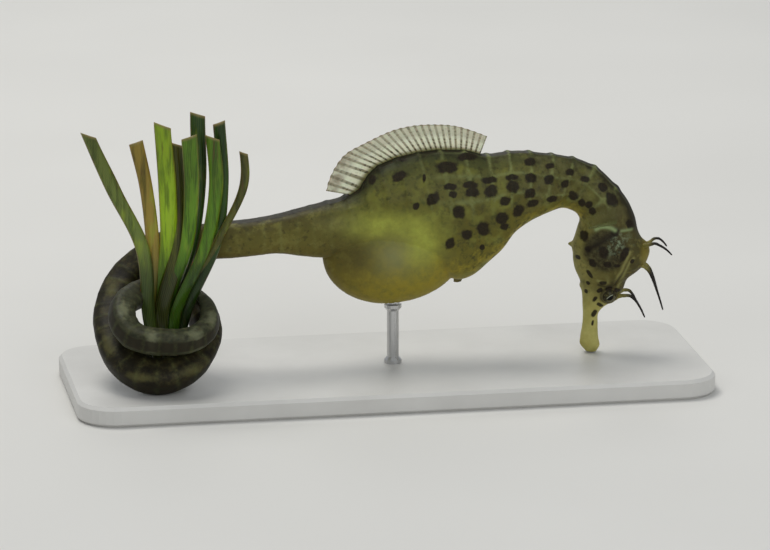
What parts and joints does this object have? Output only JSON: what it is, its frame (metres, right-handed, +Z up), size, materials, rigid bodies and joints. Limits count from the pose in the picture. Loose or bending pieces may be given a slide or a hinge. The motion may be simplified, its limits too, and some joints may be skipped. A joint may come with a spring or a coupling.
{
  "type": "seahorse",
  "caption": "Big-belly seahorse bent down to feed, its tail wound round cut water-plant blades, on a flat display stand with a short rod.",
  "frame": {"origin": "middle of the display stand's underside", "axes": "+X along the body towards the head, +Z up, +Y towards the animal's left side"},
  "size_m": [0.16, 0.06, 0.072],
  "materials": {
    "tail_skin": "moist, finely ridged, olive brown with pale bands",
    "trunk_skin": "moist, olive with dark brown spots and pale ring lines",
    "pouch_skin": "smooth, thin, faintly translucent yellow olive",
    "head_skin": "moist, olive with brown spots and a silvery green sheen on the gill cover",
    "snout_skin": "smooth olive yellow",
    "fin_membrane": "thin, translucent cream with fine rays and brown dashes",
    "eye": "wet, glossy",
    "filament": "soft, near black with olive roots",
    "plant_blade": "waxy green strap leaves",
    "stand_plate": "satin pale warm grey powder coat",
    "stand_rod": "brushed"
  },
  "bodies": {
    "root": {"tail_1": "tail_skin", "tail_2": "tail_skin", "tail_3": "tail_skin", "tail_4": "tail_skin", "tail_5": "tail_skin", "tail_6": "tail_skin", "trunk_rear": "trunk_skin", "trunk_front": "trunk_skin", "neck": "trunk_skin", "pouch": "pouch_skin", "head": "head_skin", "snout": "snout_skin", "dorsal_fin": "fin_membrane", "anal_fin": "fin_membrane", "pectoral_fin_right": "fin_membrane", "pectoral_fin_left": "fin_membrane", "eye_right": "eye", "eye_left": "eye", "coronet_filament_right": "filament", "coronet_filament_left": "filament", "brow_filament_right": "filament", "brow_filament_left": "filament", "nose_filament_right": "filament", "nose_filament_left": "filament", "perch_plant": "plant_blade", "stand_base": "stand_plate", "stand_rod": "stand_rod"}
  },
  "joints": []
}
